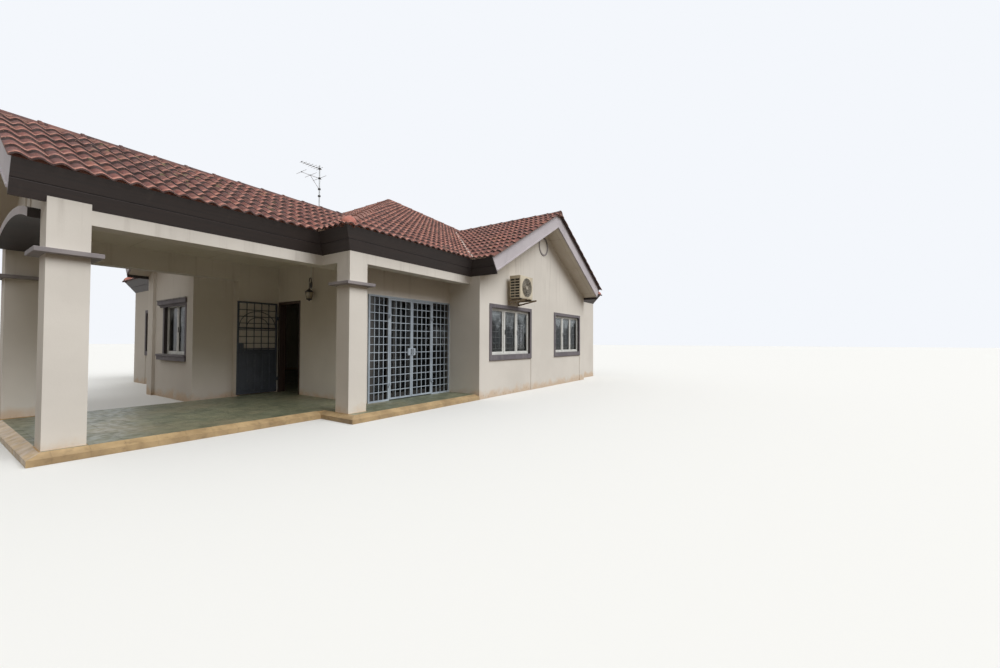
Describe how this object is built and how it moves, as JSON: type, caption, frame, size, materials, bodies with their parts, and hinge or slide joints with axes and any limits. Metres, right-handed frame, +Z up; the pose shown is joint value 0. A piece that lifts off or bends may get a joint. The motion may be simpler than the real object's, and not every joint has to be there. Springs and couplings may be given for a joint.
{
  "type": "single-storey bungalow",
  "caption": "Single-storey tiled bungalow with a hipped roof, a gabled wing, an open arched car porch, a corner verandah with hinged steel grilles and a sliding glass door.",
  "frame": {"origin": "on the ground, under the middle of the square main block, at the underside of its floor slab", "axes": "+Z up; -Y towards the street, where the car porch stands; +X towards the side garden, where the gabled wing faces"},
  "size_m": [12.115, 14.825, 6.4477],
  "materials": {
    "floor_tile": "matt green-grey floor tiles edged with bare cement",
    "plaster": "painted cement plaster, warm off-white",
    "arch_plaster": "painted cement plaster, light lilac-grey",
    "trim": "painted cement mouldings, dark lilac-grey",
    "ceiling_board": "painted flat boards, beige",
    "roof_tile": "weathered terracotta tiles",
    "fascia_wood": "dark brown painted boards",
    "barge_wood": "light lilac-grey painted boards",
    "window_aluminium": "white coated aluminium",
    "window_glass": "clear glass before dark rooms",
    "white_steel": "white painted steel bars",
    "door_wood": "dark brown painted frame",
    "grille_steel": "light blue-grey painted steel",
    "unit_case": "ivory powder-coated case",
    "dark_steel": "dark brown painted steel"
  },
  "bodies": {
    "house": {"house_floor": "floor_tile", "porch_floor": "floor_tile", "verandah_floor": "floor_tile", "porch_column_near": "plaster", "porch_column_far": "plaster", "verandah_column": "plaster", "column_mouldings": "trim", "porch_beam_near": "plaster", "porch_beam_far": "plaster", "verandah_beams": "plaster", "porch_arch": "arch_plaster", "porch_gable_wall": "plaster", "house_ceiling": "ceiling_board", "porch_ceiling": "ceiling_board", "verandah_ceiling": "ceiling_board", "entrance_wall": "plaster", "entrance_lintel": "plaster", "porch_side_wall": "plaster", "bay_front_wall": "plaster", "bay_side_walls": "plaster", "front_wall": "plaster", "far_wall": "plaster", "rear_wall": "plaster", "garden_rear_wall": "plaster", "gable_wall": "plaster", "verandah_side_wall": "plaster", "sliding_door_lintel": "plaster", "main_roof": "roof_tile", "wing_roof": "roof_tile", "porch_roof": "roof_tile", "bay_roof": "roof_tile", "ridge_caps": "roof_tile", "hip_caps": "roof_tile", "side_fascias": "fascia_wood", "front_rear_fascias": "fascia_wood", "left_barge_boards": "barge_wood", "right_barge_boards": "barge_wood", "verge_soffits": "ceiling_board", "gable_ring": "trim", "window_surrounds": "trim", "window_frames": "window_aluminium", "window_glass": "window_glass", "window_grilles": "white_steel", "entrance_frame": "door_wood", "gate_hinge_pins": "grille_steel", "verandah_grille": "grille_steel", "sliding_frame": "window_aluminium", "cooling_unit": "unit_case", "cooling_brackets": "dark_steel", "entrance_lamp": "dark_steel", "roof_aerial": "dark_steel"},
    "entrance_gate": {"entrance_gate": "grille_steel"},
    "grille_leaf_left": {"grille_leaf_left": "grille_steel"},
    "grille_leaf_right": {"grille_leaf_right": "grille_steel"},
    "sliding_panel_left": {"sliding_panel_left": "window_aluminium"},
    "sliding_panel_right": {"sliding_panel_right": "window_aluminium"}
  },
  "joints": [
    {"name": "gate_hinge", "type": "hinge", "parent": "house", "child": "entrance_gate", "pos_m": [1.62, -4.676, 0.42], "axis": [0, 0, 1], "range_deg": [0, 90]},
    {"name": "left_grille_hinge", "type": "hinge", "parent": "house", "child": "grille_leaf_left", "pos_m": [4.886, -4.106, 0.42], "axis": [0, 0, 1], "range_deg": [-165, 0]},
    {"name": "right_grille_hinge", "type": "hinge", "parent": "house", "child": "grille_leaf_right", "pos_m": [4.886, -2.894, 0.42], "axis": [0, 0, 1], "range_deg": [0, 165]},
    {"name": "left_panel_slide", "type": "slide", "parent": "house", "child": "sliding_panel_left", "axis": [0, -1, 0], "range_m": [0, 0.48]},
    {"name": "right_panel_slide", "type": "slide", "parent": "house", "child": "sliding_panel_right", "axis": [0, 1, 0], "range_m": [0, 0.48]}
  ]
}
